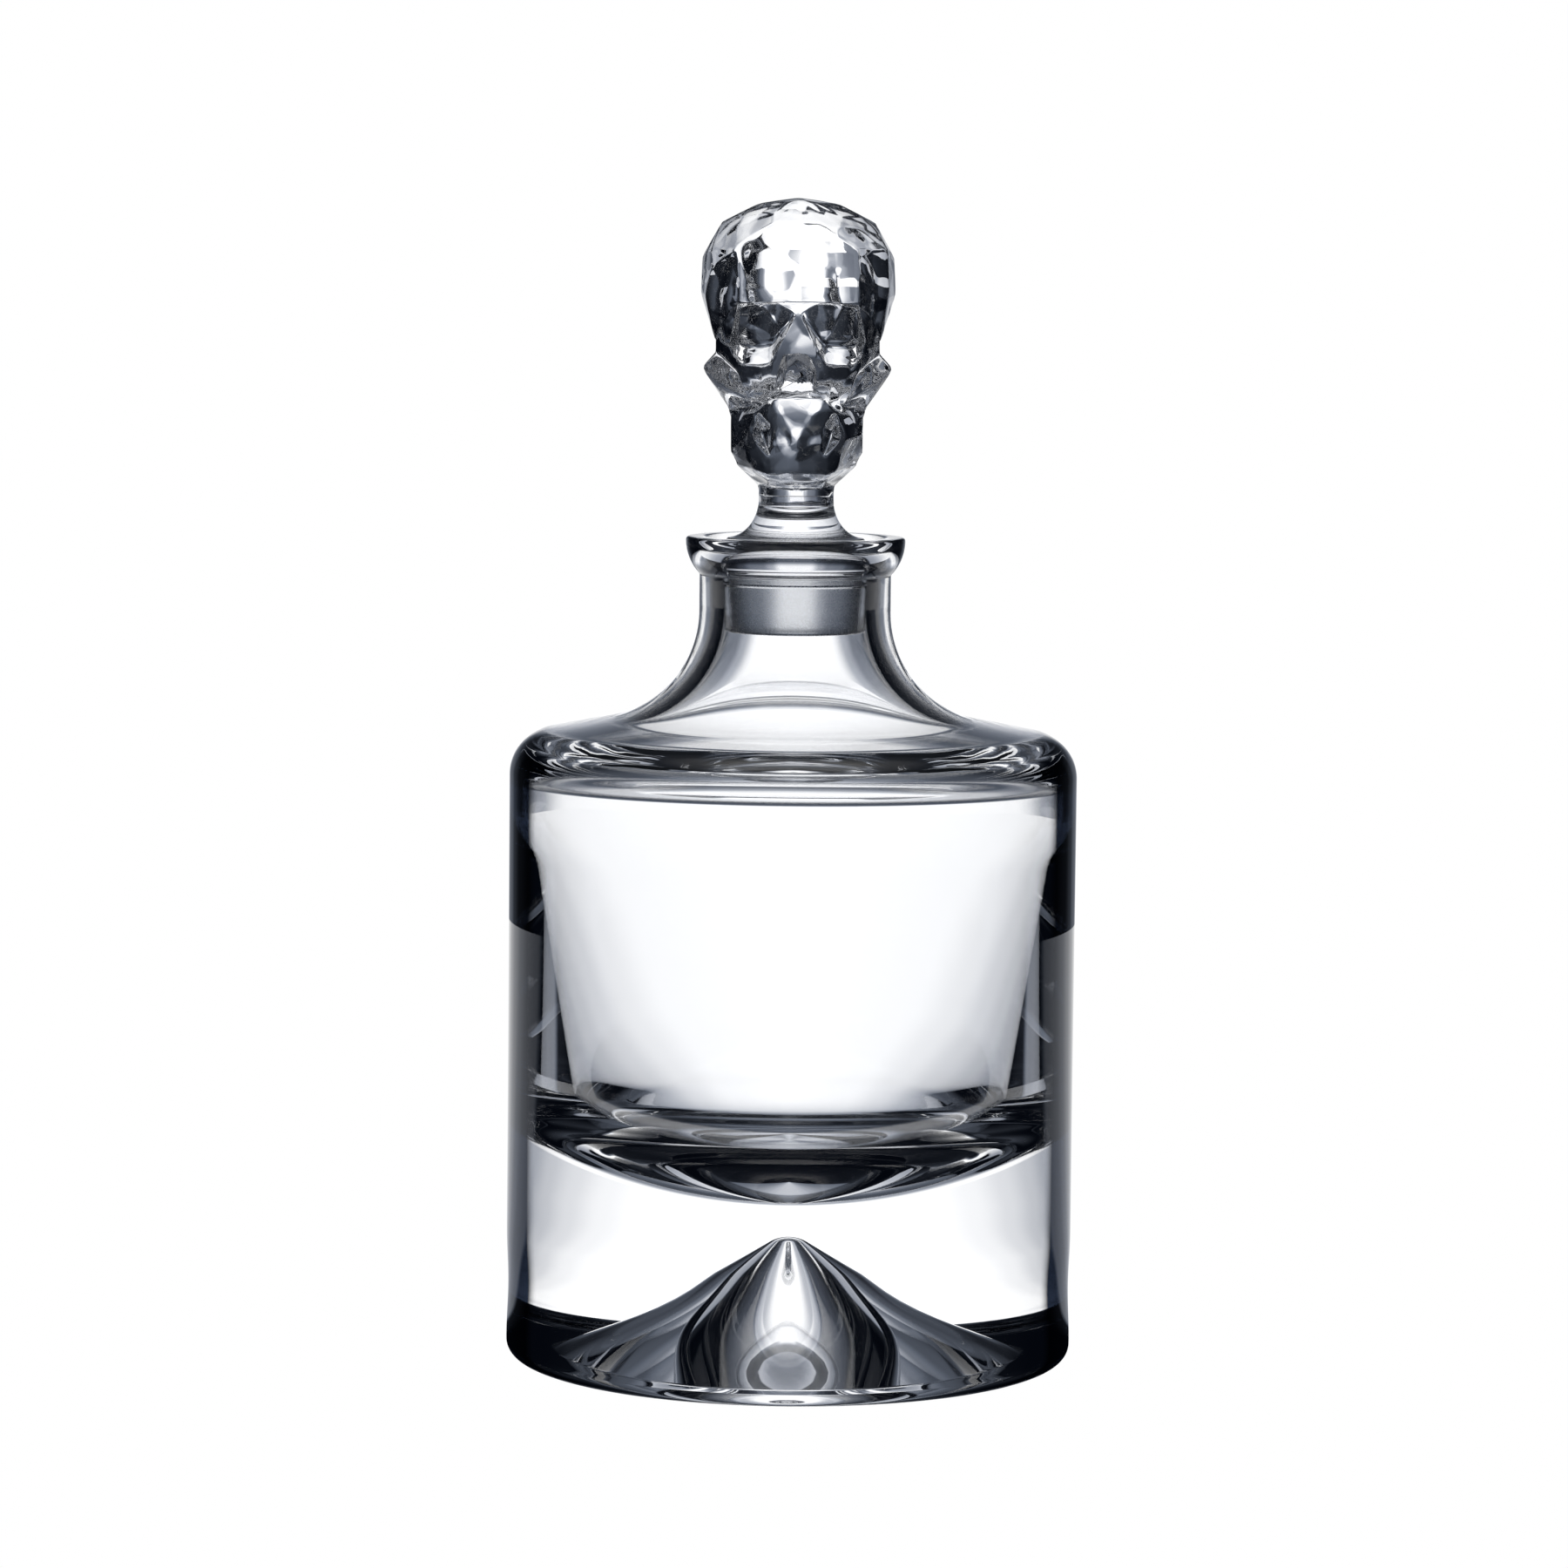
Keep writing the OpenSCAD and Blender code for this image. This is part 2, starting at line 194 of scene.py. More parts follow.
def light_room(world):
    """Brightness by direction: the wall's sides times its height, or the light overhead."""
    tree = world.node_tree
    tree.nodes.clear()
    way = add(tree, "TexCoord").outputs["Generated"]
    axes = add(tree, "SeparateXYZ", {"Vector": way}).outputs
    height = add(tree, "Math", {0: axes["Z"]}, operation="ARCSINE").outputs[0]
    share = sum_of(tree, sum_of(tree, height, 1 / math.pi, "MULTIPLY"), 0.5)
    level = by_angle(tree, share, LEVEL_STOPS, -90, 180)
    top = by_angle(tree, share, TOP_STOPS, -90, 180)
    wall = sum_of(tree, level, sides_of(tree, axes)["Wall"], "MULTIPLY")
    shine(tree, sum_of(tree, wall, top, "MAXIMUM"), "Background", "ShaderNodeOutputWorld")


world = bpy.data.worlds.new("studio")
world.use_nodes = True
light_room(world)
scene.world = world
scene.view_settings.view_transform = "Standard"
scene.cycles.max_bounces = 32
scene.cycles.transmission_bounces = 32
scene.cycles.glossy_bounces = 16
print("world", world.name)

# %% [markdown]
# ## The table
#
# The table is a plain white sheet to the camera. To all other light it glows with painted light, brighter
# behind like the wall. Under the decanter it has a painted shadow, except for a painted spot of light in
# the middle, where light would reach through the hollow cone. The disc ends where the wall begins, and
# beyond it the two look the same to the eye.

# %% Lay the table
TABLE_REACH = 0.85
TABLE_DROP = 0.0004
# Painted shadow on the table under the decanter: the radii in metres where it fades out, and its brightness
SHADE_FROM, SHADE_TO, SHADE = 0.06, 0.085, 0.02
# Painted spot of light in the middle of that shadow: the radii in metres where it fades, and its brightness
PAINTED_SPOT_FROM, PAINTED_SPOT_TO, PAINTED_SPOT = 0.03, 0.045, 0.5

table_mesh = bpy.data.meshes.new("table")
rim = np.linspace(0, 2 * np.pi, 96, endpoint=False)
edge = np.column_stack([np.cos(rim), np.sin(rim)]) * TABLE_REACH
table_mesh.from_pydata(np.column_stack([edge, np.full(96, -TABLE_DROP)]).tolist(), [], [list(range(96))])
table = bpy.data.objects.new("table", table_mesh)
scene.collection.objects.link(table)
sheet = bpy.data.materials.new("table_painted_light")
sheet.use_nodes = True
sheet_tree = sheet.node_tree
sheet_tree.nodes.clear()
place = add(sheet_tree, "TexCoord").outputs["Object"]
out_from_middle = add(sheet_tree, "VectorMath", {0: place}, operation="LENGTH").outputs["Value"]
# Painted shadow: dark in a ring under the decanter, with a painted lighter spot in its middle
painted_shadow = between(sheet_tree, out_from_middle, PAINTED_SPOT_FROM, PAINTED_SPOT_TO, PAINTED_SPOT, SHADE)
outside_painted_shadow = between(sheet_tree, out_from_middle, SHADE_FROM, SHADE_TO, 0.0, 1.0)
painted_shade = sum_of(sheet_tree, painted_shadow, outside_painted_shadow, "MAXIMUM")
place_axes = add(sheet_tree, "SeparateXYZ", {"Vector": place}).outputs
lit = sum_of(sheet_tree, sides_of(sheet_tree, place_axes)["Table"], painted_shade, "MULTIPLY")
shine(sheet_tree, lit, "Emission", "ShaderNodeOutputMaterial")
table_mesh.materials.append(sheet)
print("table", TABLE_REACH * 2, "m wide")

# %% [markdown]
# ## Outlines
#
# A turned piece is drawn as half of its cross-section: a line in radius and height, in millimetres.
# The line is built from arcs that touch each other, then walked in small equal steps and averaged
# over a short reach, which rounds the corners as fire polishing does, and leaves straight runs be.

# %% Draw and soften an outline
def arc(x, z, radius, start, end, steps=48):
    """Points on the circle about (x, z): the angle runs evenly from start to end, in degrees."""
    t = np.radians(np.linspace(start, end, steps + 1))
    return np.column_stack([x + radius * np.cos(t), z + radius * np.sin(t)])


def walked(line, step):
    """Equal steps along a line of points: each coordinate is read off against the length run."""
    length = np.concatenate([[0], np.cumsum(np.linalg.norm(np.diff(line, axis=0), axis=1))])
    keep = np.concatenate([[True], np.diff(length) > 1e-9])
    length, line = length[keep], line[keep]
    at = np.linspace(0, length[-1], int(round(length[-1] / step)) + 1)
    return np.column_stack([np.interp(at, length, line[:, k]) for k in (0, 1)])


def softened(line, reach, closed=False):
    """Each point becomes the mean of its neighbours within half the reach, taken twice. A line that
    ends on the axis is mirrored there first, and a closed line goes round."""
    step = 0.05
    fine = walked(line, step)
    count = max(int(round(reach / step)) // 2 * 2 + 1, 3)
    if closed:
        fine = fine[:-1]
        padded = np.vstack([fine[-count:], fine, fine[:count]])
    else:
        turn = np.array([-1, 1])
        padded = np.vstack([fine[1:count + 1][::-1] * turn, fine, fine[-count - 1:-1][::-1] * turn])
    kernel = np.convolve(np.full(count // 2 + 1, 1.0), np.full(count // 2 + 1, 1.0))
    kernel /= kernel.sum()
    side = (len(kernel) - 1) // 2
    smooth = np.column_stack([np.convolve(padded[:, k], kernel, "valid") for k in (0, 1)])
    smooth = smooth[count - side:count - side + len(fine)]
    if closed:
        return np.vstack([smooth, smooth[:1]])
    smooth[[0, -1], 0] = 0
    return smooth


def spread(line, count, turn_weight=0.35):
    """A line thinned to count points, close together where it turns and further apart where it is
    straight. Returns the points and their outward normals, at right angles to the line."""
    ahead = np.gradient(line, axis=0)
    ahead /= np.linalg.norm(ahead, axis=1)[:, None]
    angle = np.degrees(np.unwrap(np.arctan2(ahead[:, 1], ahead[:, 0])))
    run = np.linalg.norm(np.diff(line, axis=0), axis=1)
    effort = np.concatenate([[0], np.cumsum(run + turn_weight * np.abs(np.diff(angle)))])
    at = np.linspace(0, effort[-1], count)
    place = np.column_stack([np.interp(at, effort, line[:, k]) for k in (0, 1)])
    heading = np.column_stack([np.interp(at, effort, ahead[:, k]) for k in (0, 1)])
    heading /= np.linalg.norm(heading, axis=1)[:, None]
    return place, np.column_stack([heading[:, 1], -heading[:, 0]])

# %% [markdown]
# ## Turning a piece
#
# A lathe form is a surface of two parameters: one runs along the outline and one round the axis.
# The whole grid of points is worked out at once. Each point also gets the exact normal of the
# smooth form, because glass bends light by its normal, and a normal averaged from flat faces would
# show as ripples.

# %% Turn an outline into a mesh
def turned(name, line, rings, sides=256, closed=False):
    """A surface of revolution: (radius, height) becomes (radius cos t, radius sin t, height), with t
    once round. An outline that starts and ends on the axis gets one point at each pole."""
    place, normal = spread(line, rings)
    if closed:
        place, normal = place[:-1], normal[:-1]
    t = np.linspace(0, 2 * np.pi, sides, endpoint=False)
    around = np.stack([np.cos(t), np.sin(t)], axis=1)
    flat = place[:, None, :1] * around[None]
    points = np.concatenate([flat, np.broadcast_to(place[:, None, 1:], flat.shape[:2] + (1,))], axis=2)
    out = normal[:, None, :1] * around[None]
    normals = np.concatenate([out, np.broadcast_to(normal[:, None, 1:], out.shape[:2] + (1,))], axis=2)

    count = len(place)
    index = np.arange(count * sides).reshape(count, sides)
    ahead = np.roll(index, -1, axis=1)
    if closed:
        above, above_ahead = np.roll(index, -1, axis=0), np.roll(ahead, -1, axis=0)
        quads = np.stack([index, ahead, above_ahead, above], axis=2).reshape(-1, 4)
        points, normals, faces = points.reshape(-1, 3), normals.reshape(-1, 3), quads.tolist()
    else:
        body = slice(1, count - 1)
        index, ahead = index[body] - sides, ahead[body] - sides
        quads = np.stack([index[:-1], ahead[:-1], ahead[1:], index[1:]], axis=2).reshape(-1, 4)
        first, last = (count - 2) * sides, (count - 2) * sides + 1
        start = np.column_stack([np.full(sides, first), ahead[0], index[0]])
        end = np.column_stack([index[-1], ahead[-1], np.full(sides, last)])
        faces = quads.tolist() + start.tolist() + end.tolist()
        points = np.vstack([points[body].reshape(-1, 3), points[[0, -1], 0]])
        normals = np.vstack([normals[body].reshape(-1, 3), normals[[0, -1], 0]])

    mesh = bpy.data.meshes.new(name)
    mesh.from_pydata((points * MM).tolist(), [], faces)
    mesh.update()
    mesh.shade_smooth()
    mesh.normals_split_custom_set_from_vertices(normals.tolist())
    piece = bpy.data.objects.new(name, mesh)
    scene.collection.objects.link(piece)
    print(name, len(mesh.vertices), "points,", sum(len(f) - 2 for f in faces), "triangles")
    return piece

# %% [markdown]
# ## The bottle
#
# The bottle is one piece of thick crystal, blown and then pressed over a cone. Its outline starts at
# the tip of the hollow cone under the base, goes round the foot and up the outside, over the rim, and
# down the inside to the middle of the floor. The arcs touch where they meet, as on the real glass.

# %% Sizes of the bottle, in millimetres
BODY_R, CAVITY_R, NECK_R = 65.0, 62.0, 21.9
MOUTH_BORE_R, MOUTH_R, LIP_R = 16.75, 21.1, 25.1
SLOPE = 11.0
SWEEP_C, SWEEP_R, INNER_SWEEP_R = (46.9, 171.79), 25.0, 30.6
EDGE_C, EDGE_R = (54.5, 134.14), 10.5
IN_EDGE_C, IN_EDGE_R = (55.0, 131.9), 7.0
LIP_Z, RIM_Z, BORE_TOP_Z, LEAN_Z = 180.19, 188.89, 182.39, 122.0
WALL_LEAN, LEAN_R = 9.5, 60.0
BOWL_R, BOWL_Z, BEND_R = 81.0, 119.0, 22.0
KICK_R, KICK_H, TIP_R = 35.5, 31.0, 4.0
FOOT_R, WAIST_DEPTH, WAIST_H = 3.5, 0.4, 26.0
RIM_EDGE_R = 0.8

# %% The bend inside the base, and the bottle's whole outline
def bend_centre():
    """The bend touches the leaning wall and the bowl from inside: its centre lies on the wall's own
    line moved in by its radius, where the distance to the bowl's centre is the radii's difference."""
    lean = math.radians(WALL_LEAN)
    start = np.array([CAVITY_R - BEND_R * math.cos(lean), LEAN_Z + BEND_R * math.sin(lean) - BOWL_Z])
    way = np.array([-math.sin(lean), -math.cos(lean)])
    b = start @ way
    run = -b + math.sqrt(b * b - start @ start + (BOWL_R - BEND_R) ** 2)
    return start + run * way + np.array([0, BOWL_Z])


def flare_arc(foot_x, foot_z, side, rise, turned_in):
    """The arc that is upright at one end and has moved side across and rise up at the other."""
    radius = (side * side + rise * rise) / (2 * side)
    turn = 2 * math.degrees(math.atan2(side, rise))
    if turned_in:
        return arc(foot_x + side - radius, foot_z + rise, radius, -turn, 0)
    return arc(foot_x + radius, foot_z, radius, 180, 180 - turn)


def bottle_outline():
    """Half of the cross-section: cone, foot, outside, rim and inside, from axis to axis."""
    tip_z = KICK_H - TIP_R
    cone = math.degrees(math.atan2(tip_z, KICK_R) + math.asin(TIP_R / math.hypot(KICK_R, tip_z)))
    up = np.linspace(0, 1, 60)
    bend = bend_centre()
    bowl_angle = math.degrees(math.atan2(bend[1] - BOWL_Z, bend[0]))
    sweep_end = 270 - SLOPE
    lean_start_z = LEAN_Z + LEAN_R * math.tan(math.radians(WALL_LEAN / 2))
    outside = [
        arc(0, tip_z, TIP_R, 90, 90 - cone),
        [[KICK_R, 0]],
        arc(BODY_R - FOOT_R, FOOT_R, FOOT_R, -90, 0),
        np.column_stack([BODY_R - WAIST_DEPTH * (1 - np.cos(2 * np.pi * up)) / 2, FOOT_R + WAIST_H * up]),
        arc(*EDGE_C, EDGE_R, 0, 90 - SLOPE),
        arc(*SWEEP_C, SWEEP_R, sweep_end, 180, 96),
        flare_arc(NECK_R, LIP_Z, LIP_R - NECK_R, RIM_Z - RIM_EDGE_R - LIP_Z, True),
        arc(LIP_R - RIM_EDGE_R, RIM_Z - RIM_EDGE_R, RIM_EDGE_R, 0, 90),
    ]
    inside = [
        flare_arc(MOUTH_BORE_R, BORE_TOP_Z, MOUTH_R - MOUTH_BORE_R, RIM_Z - BORE_TOP_Z, False)[::-1],
        arc(*SWEEP_C, INNER_SWEEP_R, 180, sweep_end, 96),
        arc(*IN_EDGE_C, IN_EDGE_R, 90 - SLOPE, 0),
        arc(CAVITY_R - LEAN_R, lean_start_z, LEAN_R, 0, -WALL_LEAN),
        arc(*bend, BEND_R, -WALL_LEAN, bowl_angle),
        arc(0, BOWL_Z, BOWL_R, bowl_angle, -90, 96),
    ]
    return np.vstack(outside + inside)


bottle = turned("bottle_glass", softened(bottle_outline(), 0.7), rings=330, sides=288)

# %% [markdown]
# ## The stopper's foot
#
# The foot is solid crystal: a core that is ground satin where the sleeve holds it, a short polished
# collar, and a flare that narrows to the stem. A peg on top goes into the skull. Its faces stop two
# hundredths of a millimetre short of the pieces they rest on, because two faces of glass at exactly
# the same place would confuse the light.

# %% Turn the foot, the sleeve and the disc of adhesive
SEAT_Z, SLEEVE_END_Z, PLUG_TOP_Z, STEM_Z, JOINT_Z = 180.19, 166.89, 188.59, 197.39, 195.99
CORE_TOP_R, CORE_END_R, PLUG_R, STEM_R, PEG_R, PEG_H = 15.507, 14.29, 15.957, 8.55, 6.4, 2.4
FOOT_H, JOINT_DROP = 8.8, 1.4
TURN_GAP, EDGE, REST = 0.05, 0.5, 0.02


def foot_outline():
    """The flare is a quarter of an ellipse in depth below the stem's narrowest point."""
    depth = JOINT_DROP + (FOOT_H - JOINT_DROP) * np.sin(np.linspace(np.pi / 2, 0, 48))
    flare = STEM_R + (PLUG_R - STEM_R) * (1 - np.sqrt(1 - np.minimum(depth / FOOT_H, 1) ** 2))
    flare = np.minimum(flare, PLUG_R - EDGE * np.linspace(1, 0, 48) ** 4)
    return np.vstack([
        [[0, SLEEVE_END_Z], [CORE_END_R - EDGE, SLEEVE_END_Z], [CORE_END_R, SLEEVE_END_Z + EDGE]],
        [[CORE_TOP_R, SEAT_Z], [PLUG_R - EDGE / 2, SEAT_Z + REST], [PLUG_R, SEAT_Z + EDGE / 2]],
        [[PLUG_R, PLUG_TOP_Z - EDGE]],
        np.column_stack([flare, STEM_Z - depth]),
        [[PEG_R, JOINT_Z - REST], [PEG_R, JOINT_Z + PEG_H - REST], [0, JOINT_Z + PEG_H - REST]],
    ])


foot = turned("foot_crystal", softened(foot_outline(), 0.25), rings=190, sides=192)

# %% [markdown]
# ## The sleeve
#
# A soft clear ring seals the neck. It is thicker below, where the core tapers, and has one shallow
# groove under its top edge. Its outline is a closed loop that doesn't reach the axis.

# %% Turn the sleeve
SLEEVE_TOP_R, SLEEVE_LOW_R = 16.607, 16.04
GROOVE_DROP, GROOVE_HALF, GROOVE_DEPTH = 1.5, 0.4, 0.25


def sleeve_r(z):
    """The sleeve's outside is a slight cone between its top and its bottom radius."""
    return SLEEVE_LOW_R + (z - SLEEVE_END_Z) * (SLEEVE_TOP_R - SLEEVE_LOW_R) / (SEAT_Z - SLEEVE_END_Z)


def sleeve_outline():
    """Up the outside from the lower edge, in and out of the groove, and down the inside."""
    groove = SEAT_Z - GROOVE_DROP
    round_r = 2 * EDGE
    low = arc(sleeve_r(SLEEVE_END_Z) - round_r, SLEEVE_END_Z + round_r, round_r, 0, -90)
    loop = [
        [[CORE_END_R + TURN_GAP, SLEEVE_END_Z]], low[::-1],
        [[sleeve_r(groove - 2 * GROOVE_HALF), groove - 2 * GROOVE_HALF]],
        [[sleeve_r(groove) - GROOVE_DEPTH, groove - GROOVE_HALF], [sleeve_r(groove), groove]],
        [[SLEEVE_TOP_R, SEAT_Z - EDGE / 2], [SLEEVE_TOP_R - EDGE / 2, SEAT_Z]],
        [[CORE_TOP_R + TURN_GAP, SEAT_Z], [CORE_END_R + TURN_GAP, SLEEVE_END_Z]],
    ]
    return np.vstack(loop)


sleeve_line = softened(sleeve_outline(), 0.2, closed=True)
sleeve = turned("sleeve_clear", sleeve_line, rings=150, sides=192, closed=True)

# %% Turn the disc of adhesive
GLUE_Z, GLUE_T = JOINT_Z + PEG_H, 0.1
glue_line = np.array([
    [0, GLUE_Z], [PEG_R - REST, GLUE_Z], [PEG_R - REST, GLUE_Z + GLUE_T - REST], [0, GLUE_Z + GLUE_T - REST]])
glue = turned("adhesive_disc", softened(glue_line, 0.05), rings=24, sides=128)

# %% [markdown]
# ## The skull
#
# The skull is cut in flat facets, and polishing has left every edge a little round. The solid in the
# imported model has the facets. A copy of it is joined up, the triangles that share a plane become one
# face, and a subdivided surface with creases rounds the edges: long edges hold, short ones melt.

# %% Copy the skull and round its edges
PLANE_ANGLE = 0.8
SOCKET_R, SOCKET_TOP = 0.009, 0.2005
CREASE_LOW, CREASE_HIGH, LONG_EDGE = 0.3, 0.55, 0.012
POLISH_LEVELS = 3


def edge_creases(mesh):
    """How firmly each edge holds when the facets are rounded: fully round the socket, and elsewhere
    the more the longer the edge is, so that short edges melt together."""
    spots = np.empty(len(mesh.vertices) * 3, np.float32)
    ends = np.empty(len(mesh.edges) * 2, np.int32)
    mesh.vertices.foreach_get("co", spots)
    mesh.edges.foreach_get("vertices", ends)
    ends = spots.astype(float).reshape(-1, 3)[ends.reshape(-1, 2)]
    length = np.linalg.norm(ends[:, 0] - ends[:, 1], axis=1)
    middle = ends.mean(axis=1)
    socket = (np.hypot(middle[:, 0], middle[:, 1]) < SOCKET_R) & (middle[:, 2] < SOCKET_TOP)
    firm = CREASE_LOW + (CREASE_HIGH - CREASE_LOW) * np.clip(length / LONG_EDGE, 0, 1)
    return np.where(socket, 1.0, firm).astype(np.float32)


skull_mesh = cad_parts["skull_head"].data.copy()
skull_mesh.name = "skull_facets"
skull_mesh.materials.clear()
work = bmesh.new()
work.from_mesh(skull_mesh)
bmesh.ops.remove_doubles(work, verts=work.verts, dist=2e-6)
bmesh.ops.dissolve_limit(
    work, angle_limit=math.radians(PLANE_ANGLE), verts=work.verts, edges=work.edges)
work.to_mesh(skull_mesh)
print("skull:", len(work.verts), "corners,", len(work.faces), "facets")
work.free()
skull = bpy.data.objects.new("skull_facets", skull_mesh)
scene.collection.objects.link(skull)
skull_mesh.shade_smooth()
firmness = edge_creases(skull_mesh)
skull_mesh.attributes.new("crease_edge", "FLOAT", "EDGE").data.foreach_set("value", firmness)
soft = skull.modifiers.new("polish", "SUBSURF")
soft.levels = soft.render_levels = POLISH_LEVELS

# %% [markdown]
# ## The finishes
#
# Crystal is clear and colourless; a thick piece of it is faintly cool. It is polished, but never
# perfectly even: the surface has slow waves from the blowing that a hand hardly feels, and light
# passing through shows them. One group of nodes makes those waves for every clear piece. The skull
# also has shallow dishes over its facets, as a bump. Where the bottle's side and the skull turn away
# from the eye, painted shade darkens their colour, in place of edges that the room doesn't make dark enough.

# %% The slow waves of worked glass, as a group
def wave_group():
    """Two layers of noise in the piece's own coordinates: broad waves, and short streaks that run
    round the piece. Out come a height for Bump and a mask of faint marks for Roughness."""
    group = bpy.data.node_groups.new("glass_waves", "ShaderNodeTree")
    for name, default in (("Wave Size", 40.0), ("Streak", 0.4), ("Marks", 0.02), ("Polish", 0.0)):
        socket = group.interface.new_socket(name, in_out="INPUT", socket_type="NodeSocketFloat")
        socket.default_value = default
    for name in ("Height", "Roughness"):
        group.interface.new_socket(name, in_out="OUTPUT", socket_type="NodeSocketFloat")
    given = group.nodes.new("NodeGroupInput").outputs
    result = group.nodes.new("NodeGroupOutput")
    place = add(group, "TexCoord").outputs["Object"]
    broad = add(group, "TexNoise", {"Vector": place, "Scale": given["Wave Size"], "Detail": 1.0}).outputs[0]
    flat = add(group, "Mapping", {"Vector": place, "Scale": (0.25, 0.25, 3.0)}).outputs[0]
    fine = add(group, "TexNoise", {"Vector": flat, "Scale": given["Wave Size"], "Detail": 2.0}).outputs[0]
    streaks = sum_of(group, fine, given["Streak"], "MULTIPLY")
    height = sum_of(group, broad, streaks)
    speck = add(group, "TexNoise", {"Vector": place, "Scale": 900.0, "Detail": 3.0}).outputs[0]
    marks = between(group, speck, 0.6, 0.75, 0.0, given["Marks"])
    group.links.new(height, result.inputs["Height"])
    group.links.new(sum_of(group, given["Polish"], marks), result.inputs["Roughness"])
    return group


waves = wave_group()
print("group", waves.name)

# %% Crystal and clear plastic
def clear_finish(name, tint, ior, wave_size, streak, depth, polish=0.0, marks=0.01):
    """A clear solid: the Principled shader with full transmission, the waves as its bump."""
    material = bpy.data.materials.new(name)
    material.use_nodes = True
    tree = material.node_tree
    shader = tree.nodes["Principled BSDF"]
    shader.inputs["Transmission Weight"].default_value = 1.0
    shader.inputs["IOR"].default_value = ior
    shader.inputs["Base Color"].default_value = (*tint, 1)
    wave = add(tree, "Group", node_tree=waves)
    for socket, value in (("Wave Size", wave_size), ("Streak", streak), ("Marks", marks), ("Polish", polish)):
        wave.inputs[socket].default_value = value
    tree.links.new(wave.outputs["Roughness"], shader.inputs["Roughness"])
    bump = add(tree, "Bump", {"Strength": 1.0, "Distance": depth, "Height": wave.outputs["Height"]})
    tree.links.new(bump.outputs[0], shader.inputs["Normal"])
    return material


# Colour of the painted shade where a surface turns away from the eye
EDGE_SHADE_COLOUR = (0.0005, 0.001, 0.003, 1)


def paint_edge_shade(material, radius, low, high):
    """Painted shade: a dark colour where the surface turns away from the eye, as far from the axis as radius
    or more. The facing value runs from 0, seen square on, to 1, seen edge on; low and high bound the painted
    shade."""
    tree = material.node_tree
    shader = tree.nodes["Principled BSDF"]
    tint = tuple(shader.inputs["Base Color"].default_value)
    place = add(tree, "TexCoord").outputs["Object"]
    flat = add(tree, "VectorMath", {0: place, 1: (1, 1, 0)}, operation="MULTIPLY").outputs[0]
    across = add(tree, "VectorMath", {0: flat}, operation="LENGTH").outputs["Value"]
    outer = sum_of(tree, across, radius, "GREATER_THAN")
    away = between(tree, add(tree, "LayerWeight", {"Blend": 0.5}).outputs["Facing"], low, high, 0.0, 1.0)
    amount = sum_of(tree, outer, away, "MULTIPLY")
    # The piece's own tint, darkened towards the painted shade colour
    edge_shade_mix = add(tree, "Mix", {0: amount, 6: tint, 7: EDGE_SHADE_COLOUR}, data_type="RGBA")
    tree.links.new(edge_shade_mix.outputs[2], shader.inputs["Base Color"])


def hollow_facets(material):
    """Shallow dishes side by side, as a cutting wheel leaves them: the square of the distance to the
    nearest dish's middle is the height, so that each dish is a lens."""
    tree = material.node_tree
    bump = next(node for node in tree.nodes if node.bl_idname == "ShaderNodeBump")
    place = add(tree, "TexCoord").outputs["Object"]
    cell = {"Vector": place, "Scale": DISHES_PER_METRE, "Smoothness": DISH_BLEND}
    reach = add(tree, "TexVoronoi", cell, feature="SMOOTH_F1").outputs["Distance"]
    bowl = sum_of(tree, reach, reach, "MULTIPLY")
    dish = add(tree, "Bump", {"Strength": 1.0, "Distance": DISH_DEPTH, "Height": bowl})
    tree.links.new(dish.outputs[0], bump.inputs["Normal"])


CRYSTAL_IOR, PLASTIC_IOR, ADHESIVE_IOR = 1.52, 1.46, 1.5
FACET_TINT, WAVE_DEPTH = (0.98, 0.985, 1.0), 0.000003
OUTER_SIDE_R = 0.0638
DISHES_PER_METRE, DISH_BLEND, DISH_DEPTH = 95.0, 0.2, 0.002

crystal = clear_finish("bottle_crystal", (0.985, 0.99, 1.0), CRYSTAL_IOR, 30.0, 0.4, WAVE_DEPTH)
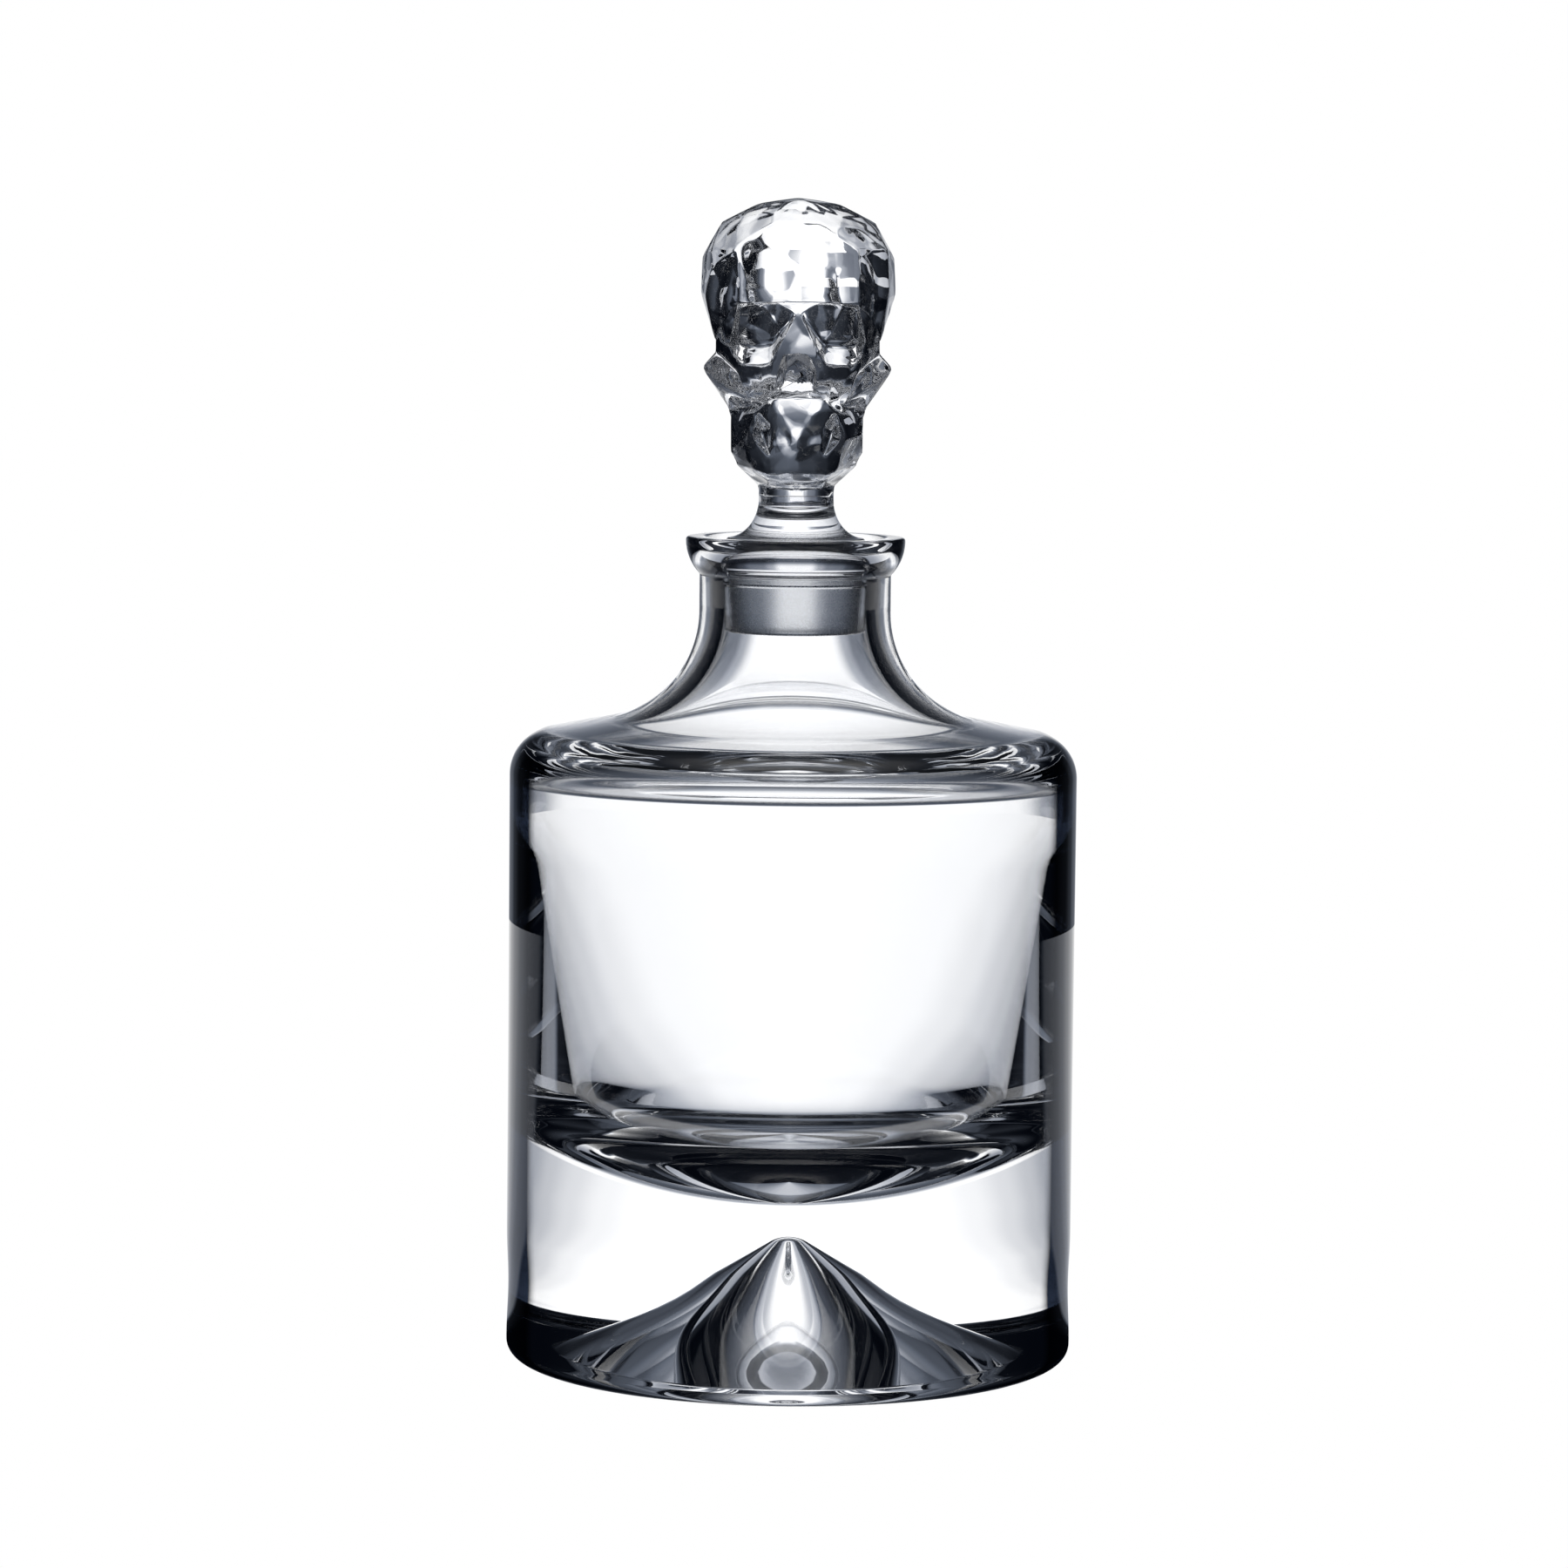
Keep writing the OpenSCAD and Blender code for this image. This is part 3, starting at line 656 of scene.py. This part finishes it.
# Painted shade on the bottle's outer side and all over the skull, where they turn away from the eye
paint_edge_shade(crystal, OUTER_SIDE_R, 0.57, 0.64)
facet_crystal = clear_finish("facet_crystal", FACET_TINT, CRYSTAL_IOR, 60.0, 0.2, WAVE_DEPTH)
hollow_facets(facet_crystal)
paint_edge_shade(facet_crystal, 0.0, 0.6, 1.05)
plastic = clear_finish(
    "clear_plastic", (0.98, 0.985, 0.99), PLASTIC_IOR, 60.0, 0.2, WAVE_DEPTH, polish=0.05)
adhesive = clear_finish("clear_adhesive", (0.99, 0.99, 0.98), ADHESIVE_IOR, 200.0, 0.2, 0.00001)
print("finishes:", crystal.name, facet_crystal.name, plastic.name, adhesive.name)

# %% The satin core of the foot
SATIN_ROUGHNESS = (0.22, 0.34)


def satin_finish():
    """The foot's crystal, ground satin below the collar: roughness is high under the seat's height,
    with a fine grain, and falls to polished above it."""
    material = clear_finish("satin_crystal", FACET_TINT, CRYSTAL_IOR, 60.0, 0.2, WAVE_DEPTH)
    tree = material.node_tree
    shader = tree.nodes["Principled BSDF"]
    place = add(tree, "TexCoord").outputs["Object"]
    height = add(tree, "SeparateXYZ", {"Vector": place}).outputs["Z"]
    grain = add(tree, "TexNoise", {"Vector": place, "Scale": 2500.0, "Detail": 2.0}).outputs[0]
    ground = between(tree, height, (SEAT_Z - 0.3) * MM, (SEAT_Z + 0.1) * MM, 1.0, 0.0)
    amount = between(tree, grain, 0.3, 0.7, *SATIN_ROUGHNESS)
    tree.links.new(sum_of(tree, ground, amount, "MULTIPLY"), shader.inputs["Roughness"])
    return material


satin = satin_finish()

# %% [markdown]
# ## Each piece on its body
#
# The bottle is one body, the sleeve another, and the stopper's three pieces share a third.

# %% Give finishes and bodies
for piece, finish, slot, body, node in (
    (bottle, crystal, "clear_crystal", "bottle", "bottle"),
    (sleeve, plastic, "clear_sleeve", "sleeve", "plug_sleeve"),
    (foot, satin, "satin_crystal", "stopper", "stopper_foot"),
    (glue, adhesive, "clear_adhesive", "stopper", "glue_disc"),
    (skull, facet_crystal, "faceted_crystal", "stopper", "skull_head"),
):
    piece.data.materials.append(finish)
    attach(piece, body)
    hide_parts(node)
    print(piece.name, "rides on", body)
